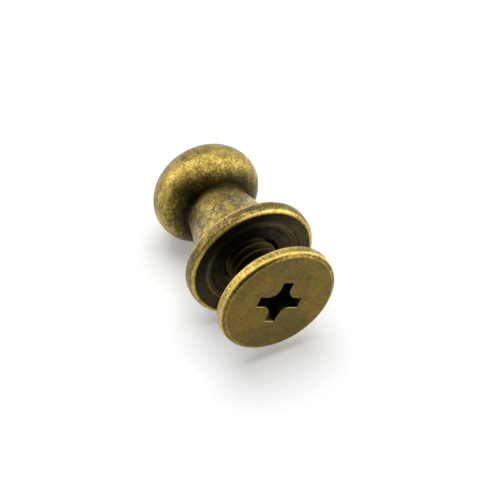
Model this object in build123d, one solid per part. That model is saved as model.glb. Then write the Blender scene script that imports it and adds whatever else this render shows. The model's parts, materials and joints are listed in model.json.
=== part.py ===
"""Chicago screw with a knob: a turned brass stud and the flat screw that closes it.

Both pieces are turned about one axis. They are drawn standing, with the flange's
bearing face at height 0, the knob above it and the screw below it. The pair is then
laid down on the knob and the edge of the flange, as it rests on a table.
All lengths are millimetres, all angles degrees.
"""
from build123d import *
from math import asin, atan2, cos, degrees, hypot, radians, sin, sqrt, tan
import os

# Thread: metric 4 mm coarse. The screw is drawn at the crest of its thread and the
# hole at its root, with a running clearance between them all round.
thread_diameter = 4.0
thread_pitch = 0.7
thread_clearance = 0.05
tap_drill_diameter = 3.3

# The screw stands open by whole turns of its thread.
open_turns = 5
seat_clearance = 0.02

# Knob: a flattened ball. Above its widest ring a round rim runs into a low crown, and
# below it a tighter rim runs into a nearly flat underside.
knob_diameter = 8.45
crown_height = 2.77
crown_rim_radius = 2.4
underside_height = 2.2
underside_rim_radius = 1.9

# Neck: one hollow curve. It meets the knob in a crisp corner and runs out into the flange.
neck_length = 5.3
neck_top_diameter = 4.9
neck_hollow = 0.1
neck_foot_fillet = 1.1

# Flange: a disc that stands out round the neck's foot, its back sloping to the rim. Its
# front edge is bevelled, and a ring of bearing face stands round a shallow dish.
flange_diameter = 10.1
flange_thickness = 1.0
flange_ledge = 1.25
flange_back_rise = 0.22
flange_bevel_width = 0.22
flange_bevel_depth = 0.25
flange_edge_chamfer = 0.1
bearing_ring_width = 0.98
dish_wall_width = 0.4
dish_depth = 0.2

# Blind hole: drilled to a point, tapped a little deeper than the screw reaches.
tap_spare_depth = 0.12
drill_spare_depth = 0.5
drill_point_angle = 118.0
hole_countersink = 0.3

# Screw: a flat head with a bevelled rim on a plain-ended shank.
head_diameter = 9.2
head_thickness = 0.9
head_bevel_width = 0.3
head_bevel_depth = 0.22
head_edge_chamfer = 0.08
shank_length = 5.5
shank_end_chamfer = 0.4

# Cross recess: four wings that shrink towards the floor, and a dimple under them.
recess_span = 3.66
recess_wing_width = 0.88
recess_corner_radius = 0.8
recess_depth = 1.9
floor_span = 1.9
floor_wing_width = 0.6
floor_corner_radius = 0.3
dimple_diameter = 1.1
dimple_depth = 0.3
recess_turn = 28.4

# Worked out from the sizes above.
knob_radius = knob_diameter / 2
flange_radius = flange_diameter / 2
hole_radius = thread_diameter / 2
drill_radius = tap_drill_diameter / 2
shank_radius = hole_radius - thread_clearance
head_radius = head_diameter / 2
grip_gap = open_turns * thread_pitch + seat_clearance


class Dome:
    """Half of the knob's outline: a rim arc from the widest ring, then a flatter arc."""

    def __init__(self, height, rim_radius):
        self.rim_radius = rim_radius
        self.rim_centre = knob_radius - rim_radius
        spare_height = height - rim_radius
        self.flat_radius = (self.rim_centre**2 + height**2 - rim_radius**2) / (2 * spare_height)
        self.flat_centre = self.flat_radius - height
        # The arcs meet where both their centres and the point are in line.
        self.meet = self.flat_radius * sin(atan2(self.rim_centre, self.flat_centre))

    def drop(self, radius):
        """How far the surface lies from the plane of the widest ring, at a radius."""
        if radius > self.meet:
            return sqrt(max(self.rim_radius**2 - (radius - self.rim_centre) ** 2, 0))
        return sqrt(self.flat_radius**2 - radius**2) - self.flat_centre

    def arcs(self, side, end):
        """The arcs from the widest ring in to a radius, above the ring (1) or below (-1)."""
        stops = [knob_radius, max(self.meet, end)]
        if end < self.meet:
            stops.append(end)
        arcs = []
        for outer, inner in zip(stops, stops[1:]):
            radii = (outer, (outer + inner) / 2, inner)
            points = [(radius, knob_centre + side * self.drop(radius)) for radius in radii]
            arcs.append(ThreePointArc(*points))
        return arcs


crown = Dome(crown_height, crown_rim_radius)
underside = Dome(underside_height, underside_rim_radius)
neck_top_radius = neck_top_diameter / 2
neck_foot_radius = flange_radius - flange_ledge
knob_centre = flange_thickness + neck_length + underside.drop(neck_top_radius)


def make_knob_stud():
    """Knob, neck and flange in one piece, with the tapped hole up from the flange."""
    neck_top = (neck_top_radius, flange_thickness + neck_length)
    neck_foot = (neck_foot_radius, flange_thickness + flange_back_rise)
    lean = atan2(neck_foot[0] - neck_top[0], neck_top[1] - neck_foot[1])
    neck_middle = (
        (neck_top[0] + neck_foot[0]) / 2 - neck_hollow * cos(lean),
        (neck_top[1] + neck_foot[1]) / 2 - neck_hollow * sin(lean),
    )

    bevel_radius = flange_radius - flange_bevel_width
    dish_radius = bevel_radius - bearing_ring_width
    tap_depth = shank_length + tap_spare_depth
    tap_run_out = hole_radius - drill_radius
    drill_depth = tap_depth + tap_run_out + drill_spare_depth
    drill_point = drill_radius / tan(radians(drill_point_angle / 2))

    below_knob = Polyline(
        neck_foot,
        (flange_radius - flange_edge_chamfer, flange_thickness),
        (flange_radius, flange_thickness - flange_edge_chamfer),
        (flange_radius, flange_bevel_depth),
        (bevel_radius, 0),
        (dish_radius, 0),
        (dish_radius - dish_wall_width, dish_depth),
        (hole_radius + hole_countersink, dish_depth),
        (hole_radius, dish_depth + hole_countersink),
        (hole_radius, tap_depth),
        (drill_radius, tap_depth + tap_run_out),
        (drill_radius, drill_depth),
        (0, drill_depth + drill_point),
        (0, knob_centre + crown_height),
    )
    lines = crown.arcs(1, 0) + underside.arcs(-1, neck_top_radius)
    lines += [ThreePointArc(neck_top, neck_middle, neck_foot), below_knob]
    half_section = make_face(Plane.XZ * Curve(lines))
    foot = half_section.vertices().sort_by_distance((neck_foot[0], 0, neck_foot[1]))[0]
    return revolve(fillet(foot, neck_foot_fillet), Axis.Z)


def cross_face(span, wing_width, corner_radius):
    """Four wings of one width about the centre, the corners between them rounded."""
    face = Rectangle(span, wing_width) + Rectangle(wing_width, span)
    inner = face.vertices().filter_by(lambda v: max(abs(v.X), abs(v.Y)) < span / 2 - 1e-6)
    return fillet(inner, corner_radius)


def make_flat_screw():
    """Head and shank in one piece, with the cross recess cut into the head."""
    seat = -grip_gap
    front = seat - head_thickness
    tip = seat + shank_length
    outline = Polyline(
        (0, front),
        (head_radius - head_bevel_width, front),
        (head_radius, front + head_bevel_depth),
        (head_radius, seat - head_edge_chamfer),
        (head_radius - head_edge_chamfer, seat),
        (shank_radius, seat),
        (shank_radius, tip - shank_end_chamfer),
        (shank_radius - shank_end_chamfer, tip),
        (0, tip),
        (0, front),
    )
    blank = revolve(make_face(Plane.XZ * outline), Axis.Z)

    mouth = Rot(0, 0, recess_turn) * cross_face(recess_span, recess_wing_width, recess_corner_radius)
    floor = Rot(0, 0, recess_turn) * cross_face(floor_span, floor_wing_width, floor_corner_radius)
    wings = loft([Pos(0, 0, front) * mouth, Pos(0, 0, front + recess_depth) * floor], ruled=True)
    entry = extrude(Pos(0, 0, front) * mouth, amount=-head_thickness)
    dimple = Pos(0, 0, front + recess_depth + dimple_depth / 2) * Cone(
        dimple_diameter / 2, 0, dimple_depth
    )
    return blank - wings - entry - dimple


def rest_lean():
    """The axis's slope when the crown's rim and the flange's edge touch the table."""
    along = knob_centre - (flange_thickness - flange_edge_chamfer)
    across = flange_radius - crown.rim_centre
    return degrees(atan2(across, along) - asin(crown.rim_radius / hypot(along, across)))


def resting_place(pieces):
    """Where the standing pieces go: lying on knob and flange, over the frame's origin."""
    turn = Rot(0, -(90 + rest_lean()), 0)
    box = Compound([turn * piece for piece in pieces]).bounding_box()
    return Pos(-box.center().X, -box.center().Y, -box.min.Z) * turn


def main():
    pieces = {"knob_stud": make_knob_stud(), "flat_screw": make_flat_screw()}
    place = resting_place(pieces.values())
    os.makedirs("parts", exist_ok=True)
    for name, piece in pieces.items():
        export_step(place * piece, f"parts/{name}.step")


main()
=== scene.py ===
from collections import namedtuple
import json
from math import ceil, cos, floor, pi, radians, sin, sqrt, tau

import bmesh
import bpy
import numpy as np
from mathutils import Matrix, Vector, noise


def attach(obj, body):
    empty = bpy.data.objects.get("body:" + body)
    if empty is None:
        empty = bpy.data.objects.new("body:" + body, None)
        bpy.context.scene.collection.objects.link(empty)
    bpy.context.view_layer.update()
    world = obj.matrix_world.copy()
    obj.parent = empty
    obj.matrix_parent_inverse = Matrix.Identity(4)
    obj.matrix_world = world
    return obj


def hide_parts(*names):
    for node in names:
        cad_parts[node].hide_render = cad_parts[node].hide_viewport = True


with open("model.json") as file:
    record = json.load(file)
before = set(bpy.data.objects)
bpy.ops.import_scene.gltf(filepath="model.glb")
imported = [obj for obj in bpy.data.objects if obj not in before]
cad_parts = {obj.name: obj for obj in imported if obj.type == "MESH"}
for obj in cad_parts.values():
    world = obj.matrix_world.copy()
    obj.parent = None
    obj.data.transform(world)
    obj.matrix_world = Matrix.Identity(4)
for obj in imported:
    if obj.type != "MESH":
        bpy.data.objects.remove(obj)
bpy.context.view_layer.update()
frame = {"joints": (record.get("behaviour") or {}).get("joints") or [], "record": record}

# The knob stud: knob, neck and flange turned in one piece from brass bar. It is stained
# dark all over, then tumbled, so that the open faces and edges rub back to bare brass
# while the hollows, the dish under the flange and the tapped hole stay dark.
# Painted shade darkens its hollows, the knob's underside by the neck and the flange's back by the
# neck's foot, and a painted highlight runs along the neck's top and the knob's widest ring.

# Sizes are millimetres, and heights run along the axis that stud and screw share, from
# the flange's bearing face towards the knob.
mm = 0.001
knob_radius = 4.225
knob_middle_height = 8.2252
crown_height = 2.77
crown_rim_radius = 2.4
underside_height = 2.2
underside_rim_radius = 1.9
neck_top = (2.45, 6.3)
neck_foot = (3.8, 1.22)
neck_hollow = 0.1
flange_radius = 5.05
flange_thickness = 1.0
flange_bevel_width = 0.22
flange_bevel_depth = 0.25
dish_radius = 3.85
dish_wall_width = 0.4
dish_depth = 0.2
hole_radius = 2.0
hole_countersink = 0.3
drill_radius = 1.65
tap_depth = 5.62
drill_depth = 6.47
drill_point_depth = 7.46
stud_columns = 192

# Where that axis lies in the frame: the screw travels along it, and the driver recess is
# in the middle of the screw's head.
head_face_height = -4.42
toward_knob = -Vector(frame["joints"][0]["axis"]).normalized()
upward = Vector((toward_knob.z, 0, -toward_knob.x))
sideways = toward_knob.cross(upward)
recess_mount = next(m for m in frame["record"]["mounts"] if m["name"] == "driver_recess")
bearing_centre = Vector(recess_mount["pos_m"]) - toward_knob * head_face_height * mm
resting_place = Matrix.Translation(bearing_centre) @ Matrix(
    (upward, sideways, toward_knob)
).transposed().to_4x4()

# Part of a turned outline: its points, how dark its stain is at even marks along it (on
# some stretches with painted shade and highlight), how far its end corner is softened, and
# how grey and how mottled its stain is.
plain_mottle = 0.12
Stretch = namedtuple("Stretch", "points tarnish soften grey mottle", defaults=(0, 0, plain_mottle))

# A patch of skin: rows of points right round the axis, the four kinds of wear at each (the
# tarnish also holds painted shade and highlight), how many rows the thread climbs in one
# turn, and which of the piece's finishes it has.
wear_names = ("rubbed", "tarnish", "greyed", "mottled")
Patch = namedtuple("Patch", "points wear rows_in_turn finish", defaults=(0, 0))


def arc_between(start, through, end, steps=14):
    """Points along the round arc through three points of (radius, height)."""
    (ax, ay), (bx, by), (cx, cy) = start, through, end
    twice_area = 2 * (ax * (by - cy) + bx * (cy - ay) + cx * (ay - by))
    squares = ax * ax + ay * ay, bx * bx + by * by, cx * cx + cy * cy
    middle = np.array([
        (squares[0] * (by - cy) + squares[1] * (cy - ay) + squares[2] * (ay - by)) / twice_area,
        (squares[0] * (cx - bx) + squares[1] * (ax - cx) + squares[2] * (bx - ax)) / twice_area,
    ])
    first, last = (np.arctan2(*(np.array(p) - middle)[::-1]) for p in (start, end))
    sweep = (last - first + pi) % tau - pi
    angles = first + sweep * np.linspace(0, 1, steps)
    radius = np.hypot(*(np.array(start) - middle))
    return middle + radius * np.stack([np.cos(angles), np.sin(angles)], axis=1)


def dome_height(radius, height, rim_radius):
    """How far half of the knob's surface lies from its widest ring, at a radius."""
    rim_centre = knob_radius - rim_radius
    flat_radius = (rim_centre**2 + height**2 - rim_radius**2) / (2 * (height - rim_radius))
    meet = flat_radius * rim_centre / (flat_radius - rim_radius)
    if radius > meet:
        return sqrt(max(rim_radius**2 - (radius - rim_centre) ** 2, 0))
    return sqrt(flat_radius**2 - radius**2) - flat_radius + height


def dome(height, rim_radius, side, end, steps=48):
    """Points from the widest ring inwards to a radius, above the ring (1) or below (-1)."""
    radii = end + (knob_radius - end) * np.cos(np.linspace(0, pi / 2, steps))
    return [(r, knob_middle_height + side * dome_height(r, height, rim_radius)) for r in radii]


def run_along(line):
    """The length of an outline up to each of its points."""
    return np.r_[0, np.cumsum(np.hypot(*np.diff(line, axis=0).T))]


def cut_back(line, length):
    """An outline with a length taken off its end."""
    run = run_along(line)
    last = [np.interp(run[-1] - length, run, line[:, k]) for k in (0, 1)]
    return np.vstack([line[run < run[-1] - length - 1e-6], last])


def outline(stretches, step=0.09, bend_steps=8):
    """Joins stretches, with their corners softened, into closely spaced points. Gives
    the points, and at each the tarnish with its painted shade and highlight, the greyness and the
    mottling."""
    lines = [np.array(stretch.points, float) for stretch in stretches]
    for k, stretch in enumerate(stretches[:-1]):
        if stretch.soften:
            corner = lines[k][-1]
            lines[k] = cut_back(lines[k], stretch.soften)
            lines[k + 1] = cut_back(lines[k + 1][::-1], stretch.soften)[::-1]
            t = np.linspace(0, 1, bend_steps)[1:-1, None]
            bend = (1 - t) ** 2 * lines[k][-1] + 2 * t * (1 - t) * corner + t**2 * lines[k + 1][0]
            lines[k] = np.vstack([lines[k], bend])
    points, stains = [], []
    for line, stretch in zip(lines, stretches):
        run = run_along(line)
        stops = [0.0]
        for start, end in zip(run, run[1:]):
            stops += list(np.linspace(start, end, ceil((end - start) / step) + 1)[1:])
        points.append(np.stack([np.interp(stops, run, line[:, k]) for k in (0, 1)], axis=1))
        marks = np.linspace(0, run[-1], len(stretch.tarnish))
        tarnish = np.interp(stops, marks, stretch.tarnish)
        stains.append([(stain, stretch.grey, stretch.mottle) for stain in tarnish])
    return np.vstack(points), np.vstack(stains)


def standing_out(line, reach):
    """How far each point stands out from its neighbours: below 0 in a hollow corner."""
    run = run_along(line) + np.arange(len(line)) * 1e-9
    before, after = (
        np.stack([np.interp(run + side * reach, run, line[:, k]) for k in (0, 1)], axis=1)
        for side in (-1, 1)
    )
    outward = np.stack([before[:, 1] - after[:, 1], after[:, 0] - before[:, 0]], axis=1)
    outward /= np.maximum(np.hypot(*outward.T), 1e-9)[:, None]
    return ((line - (before + after) / 2) * outward).sum(axis=1) / reach


# Tumbling rubs the stain off edges, over a short reach, and leaves it in hollow corners,
# over a longer one. The dark in hollow corners is that stain and painted shade as well.
edge_reach = 0.12
edge_rub = 3
hollow_reach = 0.45
hollow_stain_and_shade = 2
deepest_stain_and_shade = 0.6


def turned(stretches, angles):
    """A patch turned from an outline, rubbed on its edges, and dark in its hollows with stain
    and painted shade.
    """
    line, stains = outline(stretches)
    tarnish, grey, mottle = stains.T
    rubbed = np.clip(standing_out(line, edge_reach) * edge_rub, 0, 1) * np.clip(mottle, 0, 1)
    # Hollow corners get stain and painted shade, added to the tarnish.
    hollow = np.clip(-standing_out(line, hollow_reach) * hollow_stain_and_shade, 0, deepest_stain_and_shade)
    wear = np.stack([rubbed, tarnish + hollow, grey, mottle], axis=1)
    radius, height = line[:, :1], line[:, 1:]
    flat = np.zeros_like(angles)
    points = np.stack([radius * np.cos(angles), radius * np.sin(angles), height + flat], axis=-1)
    return Patch(points, wear[:, None, :] + flat[:, None])


# The thread: metric 4 mm coarse. Its flats are shares of the pitch, and only the very
# crest of it is rubbed.
thread_pitch = 0.7
thread_start = 0.04
crest_flat = 1 / 8
root_flat = 1 / 4
spare_turns = 2
crest_rub = 0.45
crest_grey = 0.4
crest_tarnish = 0.35
root_tarnish = 0.65


def threaded(low, high, root_radius, crest_radius, angles, rows_in_turn=16):
    """A patch of thread wall, whose rows climb with the helix. At either end the thread
    runs out at 45 degrees to a point of (radius, height)."""
    first_turn = floor(low[1] / thread_pitch) - spare_turns
    last_turn = ceil(high[1] / thread_pitch) + spare_turns
    turns = np.arange(first_turn, last_turn, 1 / rows_in_turn)
    height = thread_start + thread_pitch * (turns[:, None] + angles / tau)
    height = np.clip(height, low[1], high[1])
    from_ridge = abs((turns + 0.5) % 1 - 0.5)[:, None]
    flank_width = (1 - root_flat - crest_flat) / 2
    ridge = np.clip(((1 - root_flat) / 2 - from_ridge) / flank_width, 0, 1)
    radius = root_radius + (crest_radius - root_radius) * ridge + 0 * angles
    for end_radius, end_height in (low, high):
        room = abs(height - end_height)
        radius = np.clip(radius, end_radius - room, end_radius + room)
    points = np.stack([radius * np.cos(angles), radius * np.sin(angles), height], axis=-1)
    rubbed = np.where(np.isclose(ridge, 1), crest_rub, 0.0)
    tarnish = root_tarnish + (crest_tarnish - root_tarnish) * ridge
    wear = np.stack([rubbed, tarnish, crest_grey * ridge, plain_mottle + 0 * ridge], axis=-1)
    return Patch(points, wear + 0 * angles[:, None], rows_in_turn)


# Tumbled metal is never quite true. Each wave is so many lumps to the millimetre, and how
# high they stand.
waves = ((0.7, 0.010), (2.3, 0.004))
weld_distance = 0.0005
sharp_angle = 50


def make_piece(name, patches, body, node):
    """Sews patches into one smooth skin, adds the slight waviness of tumbled metal, lays
    it in place and lets it ride on its body in the node's stead."""
    points, wear, quads, finishes = [], [], [], []
    for patch in patches:
        rows, columns = patch.points.shape[:2]
        index = sum(len(p) for p in points) + np.arange(rows * columns).reshape(rows, columns)
        across = np.full_like(index, -1)
        across[:, :-1] = index[:, 1:]
        across[: rows - patch.rows_in_turn, -1] = index[patch.rows_in_turn :, 0]
        cells = np.stack([index[:-1], across[:-1], across[1:], index[1:]], axis=-1).reshape(-1, 4)
        cells = cells[(cells >= 0).all(axis=1)]
        quads.append(cells)
        finishes += [patch.finish] * len(cells)
        points.append(patch.points.reshape(-1, 3) * mm)
        wear.append(patch.wear.reshape(-1, len(wear_names)))
    mesh = bpy.data.meshes.new(name)
    mesh.from_pydata(np.vstack(points), [], np.vstack(quads))
    mesh.polygons.foreach_set("material_index", finishes)
    for attribute, values in zip(wear_names, np.vstack(wear).T):
        layer = mesh.attributes.new(attribute, "FLOAT", "POINT")
        layer.data.foreach_set("value", values.astype(np.float32))
    skin = bmesh.new()
    skin.from_mesh(mesh)
    bmesh.ops.remove_doubles(skin, verts=skin.verts, dist=weld_distance * mm)
    bmesh.ops.recalc_face_normals(skin, faces=skin.faces)
    skin.normal_update()
    for vertex in skin.verts:
        spot = vertex.co / mm
        wave = sum(noise.noise(spot * per_mm) * height for per_mm, height in waves)
        vertex.co += vertex.normal * wave * mm
    skin.to_mesh(mesh)
    skin.free()
    mesh.transform(resting_place)
    mesh.shade_smooth()
    mesh.set_sharp_from_angle(angle=radians(sharp_angle))
    piece = bpy.data.objects.new(name, mesh)
    bpy.context.scene.collection.objects.link(piece)
    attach(piece, body)
    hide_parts(node)
    return piece


stud_angles = np.arange(stud_columns) / stud_columns * tau
hole_mouth = (hole_radius, dish_depth + hole_countersink)
tap_end = (drill_radius, tap_depth)
drill_end = (drill_radius, drill_depth)


def stud_outside():
    """The stud's outline, from the middle of the crown to the mouth of its hole."""
    crown = dome(crown_height, crown_rim_radius, 1, 0)[::-1]
    underside = dome(underside_height, underside_rim_radius, -1, neck_top[0])
    slope = np.array([neck_foot[1] - neck_top[1], neck_top[0] - neck_foot[0]])
    neck_middle = (np.array(neck_top) + neck_foot) / 2 + neck_hollow * slope / np.hypot(*slope)
    neck = arc_between(neck_top, neck_middle, neck_foot)
    # The neck is barest close under the knob: a painted highlight along its top.
    neck_tarnish_and_highlight = (-0.62, *[-0.14] * 10)
    back_edge = (flange_radius, flange_thickness)
    front_edge = (flange_radius, flange_bevel_depth)
    ring_edge = (flange_radius - flange_bevel_width, 0)
    dish_edge = (dish_radius, 0)
    dish_foot = (dish_radius - dish_wall_width, dish_depth)
    countersink_edge = (hole_radius + hole_countersink, dish_depth)
    return [
        Stretch(crown, (0.02, 0.0), grey=-0.25, mottle=0.62),
        # The underside is barest by the widest ring and darkest by the neck: a painted highlight along
        # the ring and painted shade under the knob, over its stain.
        Stretch(underside, (-0.1, -0.03, 0.28, 0.5), soften=0.08, grey=0.15, mottle=0.72),
        Stretch(neck, neck_tarnish_and_highlight, soften=0.7, grey=0.5, mottle=1.4),
        # The flange's back is darkest by the neck's foot: stain with painted shade.
        Stretch([neck_foot, back_edge], (0.55, 0.5, 0.4, 0.3, 0.1), soften=0.12, grey=0.5, mottle=1.0),
        Stretch([back_edge, front_edge], (0.05, 0.15, 0.18, 0.2), soften=0.16, grey=0.4, mottle=0.75),
        Stretch([front_edge, ring_edge], (-0.05, 0.05), soften=0.16, mottle=0.7),
        Stretch([ring_edge, dish_edge], (0.4, 0.3), soften=0.2, grey=0.2, mottle=0.3),
        Stretch([dish_edge, dish_foot], (0.1, -0.14), soften=0.15, grey=0.1, mottle=0.3),
        Stretch([dish_foot, countersink_edge], (0.3, 0.45), soften=0.05, grey=0.2, mottle=0.4),
        Stretch([countersink_edge, hole_mouth], (0.25, 0.4)),
    ]


hole_bottom = [
    Stretch([tap_end, drill_end], (0.9, 0.9), soften=0.05),
    Stretch([drill_end, (0, drill_point_depth)], (0.9, 0.9)),
]
stud = make_piece(
    "knob_stud_turned",
    [
        turned(stud_outside(), stud_angles),
        threaded(hole_mouth, tap_end, drill_radius, hole_radius, stud_angles),
        turned(hole_bottom, stud_angles),
    ],
    "stud", "knob_stud",
)


def add_node(tree, kind, inputs=None, **settings):
    """A shader node with its settings, its input values and the links to its inputs."""
    made = tree.nodes.new("ShaderNode" + kind)
    for name, value in settings.items():
        setattr(made, name, value)
    for name, value in (inputs or {}).items():
        if isinstance(value, bpy.types.NodeSocket):
            tree.links.new(value, made.inputs[name])
        else:
            made.inputs[name].default_value = value
    return made


def sum_of(tree, *terms):
    """The sum of (value, factor) pairs, where a value may be a socket or a number."""
    total = 0.0
    for value, factor in terms:
        step = add_node(tree, "Math", {0: value, 1: factor, 2: total}, operation="MULTIPLY_ADD")
        total = step.outputs[0]
    return total


def product_of(tree, first, second):
    """One value times another."""
    return add_node(tree, "Math", {0: first, 1: second}, operation="MULTIPLY").outputs[0]


def fine_noise(tree, place, per_mm, detail=2):
    """Noise of so many lumps to the millimetre."""
    made = add_node(
        tree, "TexNoise",
        {"Vector": place, "Scale": per_mm / mm, "Detail": detail, "Roughness": 0.6},
    )
    return made.outputs[0]


def make_tumbled_wear():
    """Worn stain on tumbled brass: clouds, blotches and a fine grain where the stain is
    rubbed through, most on edges and least where it is tarnished and where shade is painted."""
    group = bpy.data.node_groups.new("tumbled_wear", "ShaderNodeTree")
    for name in wear_names:
        group.interface.new_socket(name.capitalize(), in_out="INPUT", socket_type="NodeSocketFloat")
    for name in ("Bare", "Grey", "Relief"):
        group.interface.new_socket(name, in_out="OUTPUT", socket_type="NodeSocketFloat")
    given = group.nodes.new("NodeGroupInput").outputs
    result = group.nodes.new("NodeGroupOutput").inputs
    place = add_node(group, "TexCoord").outputs["Object"]
    cloud, blotch, grain, speck = (
        fine_noise(group, place, per_mm, detail)
        for per_mm, detail in ((0.5, 2), (1.9, 3), (7.0, 2), (15.0, 1))
    )

    # Bare brass shows where the mottling comes out above its middle.
    mottle_middle = 1.62
    mottle = sum_of(
        group, (cloud, 0.5), (blotch, 0.75), (grain, 0.9), (speck, 1.0), (1.0, -mottle_middle)
    )
    mottled = product_of(group, mottle, given["Mottled"])
    # The tarnish holds stain, and in places painted shade and painted highlight too.
    level = sum_of(group, (mottled, 1.0), (given["Rubbed"], 0.4), (given["Tarnish"], -1.0))
    bare = add_node(group, "MapRange", {"Value": level, "From Min": -0.45, "From Max": 0.3})

    # Grey stain lies in patches where the blotches are weakest.
    patches_middle = 1.4
    patches = sum_of(
        group, (blotch, -1.3), (cloud, -1.0), (grain, -0.5), (1.0, patches_middle)
    )
    patched = product_of(group, patches, given["Mottled"])
    grey_level = sum_of(group, (patched, 1.0), (given["Greyed"], 1.0), (given["Rubbed"], -0.6))
    grey = add_node(group, "MapRange", {"Value": grey_level, "From Min": 0.3, "From Max": 0.9})

    relief = sum_of(group, (grain, 0.55), (speck, 0.45), (blotch, 0.6))
    group.links.new(bare.outputs[0], result["Bare"])
    group.links.new(grey.outputs[0], result["Grey"])
    group.links.new(product_of(group, relief, given["Mottled"]), result["Relief"])
    return group


tumbled_wear = make_tumbled_wear()
stain_to_brass = (
    (0.0, (0.024, 0.019, 0.009)),
    (0.3, (0.080, 0.059, 0.015)),
    (0.6, (0.28, 0.202, 0.048)),
    (1.0, (0.70, 0.505, 0.13)),
)
grey_stain = (0.20, 0.168, 0.125)
bare_for_full_grey = 0.35
stained_roughness = 0.38
polished_roughness = 0.33
rubbed_roughness = 0.4
grain_height = 0.016


def make_tumbled_brass(name):
    """Stained brass, rubbed bright where the wear comes through."""
    material = bpy.data.materials.new(name)
    material.use_nodes = True
    tree = material.node_tree
    shader = tree.nodes["Principled BSDF"]
    wear = tree.nodes.new("ShaderNodeGroup")
    wear.node_tree = tumbled_wear
    layers = {}
    for attribute in wear_names:
        layers[attribute] = add_node(tree, "Attribute", attribute_name=attribute).outputs["Fac"]
        tree.links.new(layers[attribute], wear.inputs[attribute.capitalize()])
    bare = wear.outputs["Bare"]
    ramp = add_node(tree, "ValToRGB", {"Fac": bare})
    while len(ramp.color_ramp.elements) < len(stain_to_brass):
        ramp.color_ramp.elements.new(0.5)
    for element, (place, colour) in zip(ramp.color_ramp.elements, stain_to_brass):
        element.position = place
        element.color = (*colour, 1)
    part_bare = add_node(tree, "MapRange", {"Value": bare, "From Max": bare_for_full_grey})
    greyness = product_of(tree, wear.outputs["Grey"], part_bare.outputs[0])
    colour = add_node(
        tree, "Mix", {"Factor": greyness, 6: ramp.outputs["Color"], 7: (*grey_stain, 1)},
        data_type="RGBA",
    )
    polish = add_node(
        tree, "MapRange", {"Value": bare, "To Min": stained_roughness, "To Max": polished_roughness}
    )
    roughness = sum_of(tree, (layers["rubbed"], rubbed_roughness), (polish.outputs[0], 1.0))
    bump = add_node(
        tree, "Bump",
        {"Strength": 0.7, "Distance": grain_height * mm, "Height": wear.outputs["Relief"]},
    )
    tree.links.new(colour.outputs[2], shader.inputs["Base Color"])
    tree.links.new(roughness, shader.inputs["Roughness"])
    tree.links.new(bump.outputs[0], shader.inputs["Normal"])
    shader.inputs["Metallic"].default_value = 1.0
    return material


stud.data.materials.append(make_tumbled_brass("tumbled_stud_brass"))

# The flat screw: a brass machine screw, its head turned flat with a bevelled rim and its
# shank rolled with a 4 mm coarse thread. The cross recess is punched into the head. It
# is stained like the stud, and turns in the stud's tapped hole.
head_radius = 4.6
head_thickness = 0.9
head_bevel_width = 0.3
head_bevel_depth = 0.22
shank_length = 5.5
shank_crest_radius = 1.95
shank_root_radius = 1.55
edge_lip = 0.06

# The recess: the span, wing width and corner radius of its mouth and of its floor. A
# rounded lip goes round the mouth in rows of (distance outside it, depth, rubbed), where
# a rub below 0 keeps the brass dull. The walls start a share of the depth down.
mouth_sizes = (3.66, 0.88, 0.8)
floor_sizes = (1.9, 0.6, 0.3)
recess_depth = 1.9
recess_turn = 28.4
wall_start = 0.05
dimple_radius = 0.5
dimple_depth = 0.3
dimple_edge_depth = 0.01
lip_width = 0.07
lip_rows = ((lip_width, 0, -0.5), (0.045, 0.004, -0.3), (0.02, 0.018, -0.2), (0.005, 0.04, -0.5))
recess_mottle = 0.3
wall_tarnish = 0.46
floor_tarnish = 0.26
dimple_tarnish = 0.3


def cross_outline(span, wing_width, corner_radius, outset=0.0, corner_steps=24, side_steps=7):
    """The recess's outline: straight wings with round corners between them, from the
    middle of one wing's end right round."""
    half, reach = wing_width / 2, span / 2
    bend = half + corner_radius
    corner = np.linspace(-pi / 2, -pi, corner_steps)
    quarter = [(reach, y) for y in np.linspace(0, half, side_steps)[:-1]]
    quarter += [(x, half) for x in np.linspace(reach, bend, side_steps)[:-1]]
    quarter += [(bend + corner_radius * cos(a), bend + corner_radius * sin(a)) for a in corner]
    quarter += [(half, y) for y in np.linspace(bend, reach, side_steps)[1:]]
    quarter += [(x, reach) for x in np.linspace(half, 0, side_steps)[1:-1]]
    quarter = np.array([complex(x, y) for x, y in quarter])
    whole = np.concatenate([quarter * 1j**k for k in range(4)])
    along = np.roll(whole, -1) - np.roll(whole, 1)
    return whole - 1j * along / abs(along) * outset


def across_head(rows, finish=0):
    """A patch through rows of (spots across the head, depth, rubbed, tarnish)."""
    spots = np.array([row[0] for row in rows])
    whole = np.ones(spots.shape)
    depth, rubbed, tarnish = np.array([row[1:] for row in rows]).T[:, :, None] * whole
    points = np.stack([spots.real, spots.imag, head_face_height + depth], axis=-1)
    wear = np.stack([rubbed, tarnish, 0 * whole, recess_mottle * whole], axis=-1)
    return Patch(points, wear, finish=finish)


def head_face(angles, steps=26):
    """The head's flat face, from its edge in to the recess, in the second finish."""
    rim = (edge_radius - edge_lip) * np.exp(1j * angles)
    around = cross_outline(*mouth_sizes, outset=lip_width) * recess_direction
    shares = np.linspace(0, 1, steps)
    return across_head([(rim + (around - rim) * share, 0, 0, 0) for share in shares], finish=1)


def recess_walls(steps=16):
    """The recess: its dull lip, its walls that lean in to the floor, and the dimple."""
    rows = [
        (cross_outline(*mouth_sizes, outset=outset) * recess_direction, depth, rubbed, 0.0)
        for outset, depth, rubbed in lip_rows
    ]
    mouth = cross_outline(*mouth_sizes) * recess_direction
    bottom = cross_outline(*floor_sizes) * recess_direction
    for share in np.linspace(wall_start, 1, steps):
        tarnish = wall_tarnish + (floor_tarnish - wall_tarnish) * share
        rows.append((mouth + (bottom - mouth) * share, recess_depth * share, 0.0, tarnish))
    dimple = dimple_radius * np.exp(1j * np.angle(bottom))
    rows.append((dimple, recess_depth + dimple_edge_depth, 0.0, dimple_tarnish))
    rows.append((dimple * 0, recess_depth + dimple_depth, 0.0, dimple_tarnish))
    return across_head(rows)


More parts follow.
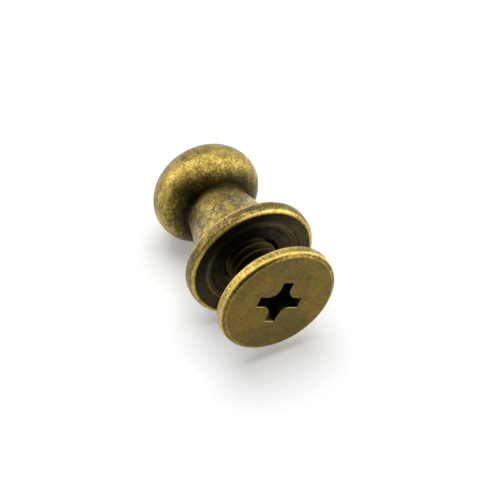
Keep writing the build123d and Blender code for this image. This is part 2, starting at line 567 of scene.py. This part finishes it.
recess_direction = np.exp(1j * radians(recess_turn))
mouth_angles = np.unwrap(np.angle(cross_outline(*mouth_sizes))) + radians(recess_turn)
seat_height = head_face_height + head_thickness
tip_height = seat_height + shank_length
edge_radius = head_radius - head_bevel_width
shank_foot = (shank_crest_radius, seat_height)
shank_end = (shank_root_radius, tip_height)
head_back = (head_radius, seat_height)
bevel_edge = (head_radius, head_face_height + head_bevel_depth)
face_edge = (edge_radius, head_face_height)
lip_edge = (edge_radius - edge_lip, head_face_height)
screw_head = [
    Stretch([shank_foot, head_back], (0.6, 0.4), soften=0.08, grey=0.3),
    Stretch([head_back, bevel_edge], (-0.08, -0.06), soften=0.08, grey=-0.2, mottle=0.85),
    Stretch([bevel_edge, face_edge], (0.1, 0.2, 0.22, 0.1), soften=0.05, grey=-0.3, mottle=0.6),
    Stretch([face_edge, lip_edge], (0.0, 0.1), mottle=0.4),
]
screw_tip = [Stretch([(0, tip_height), shank_end], (0.5, 0.5))]
screw = make_piece(
    "flat_screw_threaded",
    [
        turned(screw_tip, mouth_angles),
        threaded(shank_foot, shank_end, shank_root_radius, shank_crest_radius, mouth_angles),
        turned(screw_head, mouth_angles),
        head_face(mouth_angles),
        recess_walls(),
    ],
    "screw", "flat_screw",
)
face_brown = (0.160, 0.106, 0.018)
face_grey_brown = (0.114, 0.082, 0.021)
faced_grain_height = 0.004


def make_faced_brass():
    """The head's faced-off front: an even brown stain, clouded and very finely grained."""
    material = bpy.data.materials.new("faced_screw_brass")
    material.use_nodes = True
    tree = material.node_tree
    shader = tree.nodes["Principled BSDF"]
    place = add_node(tree, "TexCoord").outputs["Object"]
    cloud, grain, speck = (fine_noise(tree, place, per_mm) for per_mm in (0.6, 5.0, 14.0))
    clouds = add_node(tree, "MapRange", {"Value": cloud, "From Min": 0.38, "From Max": 0.62})
    colour = add_node(
        tree, "Mix", {"Factor": clouds.outputs[0], 6: (*face_brown, 1), 7: (*face_grey_brown, 1)},
        data_type="RGBA",
    )
    shade = add_node(
        tree, "MapRange",
        {"Value": sum_of(tree, (grain, 0.5), (speck, 0.5)), "From Min": 0.3, "From Max": 0.7,
         "To Min": 0.5, "To Max": 1.5},
    )
    grained = add_node(
        tree, "VectorMath", {0: colour.outputs[2], 3: shade.outputs[0]}, operation="SCALE"
    )
    roughness = add_node(tree, "MapRange", {"Value": cloud, "To Min": 0.3, "To Max": 0.45})
    bump = add_node(
        tree, "Bump", {"Strength": 0.4, "Distance": faced_grain_height * mm, "Height": grain}
    )
    tree.links.new(grained.outputs[0], shader.inputs["Base Color"])
    tree.links.new(roughness.outputs[0], shader.inputs["Roughness"])
    tree.links.new(bump.outputs[0], shader.inputs["Normal"])
    shader.inputs["Metallic"].default_value = 1.0
    return material


screw.data.materials.append(make_tumbled_brass("tumbled_screw_brass"))
screw.data.materials.append(make_faced_brass())

# The table: plain white card under the part. It glows a little to the eye and in the
# brass, so that it comes out white in the light and still keeps the soft shadow.
# Sizes of the table, the lamps and the dark card are metres.
table_size = 3.0
card_white = (0.88, 0.88, 0.88)
card_roughness = 0.9
card_shine = 0.1
card_glow = 0.23


def flat_card(name, width, depth):
    """A flat card of which the middle is at the origin."""
    mesh = bpy.data.meshes.new(name)
    corners = ((-1, -1), (1, -1), (1, 1), (-1, 1))
    mesh.from_pydata([(x * width / 2, y * depth / 2, 0) for x, y in corners], [], [(0, 1, 2, 3)])
    return bpy.data.objects.new(name, mesh)


table = flat_card("table", table_size, table_size)
bpy.context.scene.collection.objects.link(table)


def seen_by_eye_or_mirror(tree):
    """1 for rays that come from the camera or off metal, and 0 for light on its way."""
    path = add_node(tree, "LightPath").outputs
    either = add_node(
        tree, "Math", {0: path["Is Camera Ray"], 1: path["Is Glossy Ray"]}, operation="MAXIMUM"
    )
    any_of_three = add_node(
        tree, "Math", {0: either.outputs[0], 1: path["Is Transmission Ray"]}, operation="MAXIMUM"
    )
    return any_of_three.outputs[0]


def make_white_card():
    """White card, which the camera and the brass see a little whiter than it is."""
    material = bpy.data.materials.new("white_card")
    material.use_nodes = True
    tree = material.node_tree
    shader = tree.nodes["Principled BSDF"]
    shader.inputs["Base Color"].default_value = (*card_white, 1)
    shader.inputs["Roughness"].default_value = card_roughness
    shader.inputs["Specular IOR Level"].default_value = card_shine
    shader.inputs["Emission Color"].default_value = (1, 1, 1, 1)
    glow = product_of(tree, seen_by_eye_or_mirror(tree), card_glow)
    tree.links.new(glow, shader.inputs["Emission Strength"])
    return material


table.data.materials.append(make_white_card())

# The light: four soft boxes in a room that looks white and sheds a quarter of that as
# light. A dark card stands low on the camera's side for the brass to mirror.
room_light = 0.25
lamp_distance = 2.0
dark_card_width = 0.76
dark_card_height = 0.36
dark_card_distance = 0.33
dark_card_black = (0.02, 0.02, 0.02)

world = bpy.data.worlds.new("white_room")
bpy.context.scene.world = world
world.use_nodes = True
room_tree = world.node_tree
room = room_tree.nodes["Background"]
room.inputs["Color"].default_value = (1, 1, 1, 1)
room_level = sum_of(
    room_tree, (seen_by_eye_or_mirror(room_tree), 1 - room_light), (1.0, room_light)
)
room_tree.links.new(room_level, room.inputs["Strength"])


def stand_at(thing, azimuth, elevation, distance):
    """Puts a lamp or card at a bearing from the part, facing it."""
    azimuth, elevation = radians(azimuth), radians(elevation)
    place = Vector((cos(azimuth) * cos(elevation), sin(azimuth) * cos(elevation), sin(elevation)))
    thing.location = place * distance
    thing.rotation_mode = "QUATERNION"
    thing.rotation_quaternion = (-place).to_track_quat("-Z", "Y")
    bpy.context.scene.collection.objects.link(thing)


def add_soft_box(name, azimuth, elevation, size, brightness):
    """A square lamp that faces the part, as bright as so many white cards."""
    lamp = bpy.data.lights.new(name, "AREA")
    lamp.size = size
    lamp.energy = brightness * pi * size**2
    box = bpy.data.objects.new(name, lamp)
    stand_at(box, azimuth, elevation, lamp_distance)
    return box


# The one overhead lights everything. Those on either side are only mirrored in the
# brass, and the last only lights the table.
add_soft_box("top_soft_box", azimuth=172, elevation=72, size=1.7, brightness=1.4)
left_soft_box = add_soft_box("left_soft_box", azimuth=-140, elevation=27, size=1.6, brightness=1.7)
left_soft_box.visible_diffuse = False
right_soft_box = add_soft_box("right_soft_box", azimuth=57, elevation=28, size=2.2, brightness=2.8)
right_soft_box.visible_diffuse = False
table_lamp = add_soft_box("table_lamp", azimuth=150, elevation=75, size=1.6, brightness=2.8)
table_lamp.visible_glossy = False

dark_card = flat_card("dark_card", dark_card_width, dark_card_height)
stand_at(dark_card, azimuth=-34, elevation=18, distance=dark_card_distance)
dark_card.visible_camera = dark_card.visible_diffuse = dark_card.visible_shadow = False
black_paper = bpy.data.materials.new("black_paper")
black_paper.use_nodes = True
paper_shader = black_paper.node_tree.nodes["Principled BSDF"]
paper_shader.inputs["Base Color"].default_value = (*dark_card_black, 1)
dark_card.data.materials.append(black_paper)

# The camera looks down on the part from beyond the screw's head, through a long lens
# aimed at the part's middle. Distance and aim are millimetres, and the azimuth is
# counted from straight across the part's axis.
camera_azimuth = 64.38
camera_elevation = 52.0
camera_distance = 134.64
camera_aim = Vector((0.431, 0.198, 4.763))
lens = bpy.data.cameras.new("camera")
lens.lens = 135
lens.sensor_width = 36
lens.clip_start = 0.01
lens.clip_end = 10
camera = bpy.data.objects.new("camera", lens)
bpy.context.scene.collection.objects.link(camera)
bpy.context.scene.camera = camera
azimuth, elevation = radians(camera_azimuth), radians(camera_elevation)
back = Vector((sin(azimuth) * cos(elevation), -cos(azimuth) * cos(elevation), sin(elevation)))
camera.location = (camera_aim + back * camera_distance) * mm
camera.rotation_mode = "QUATERNION"
camera.rotation_quaternion = (-back).to_track_quat("-Z", "Y")
bpy.context.scene.view_settings.view_transform = "Standard"
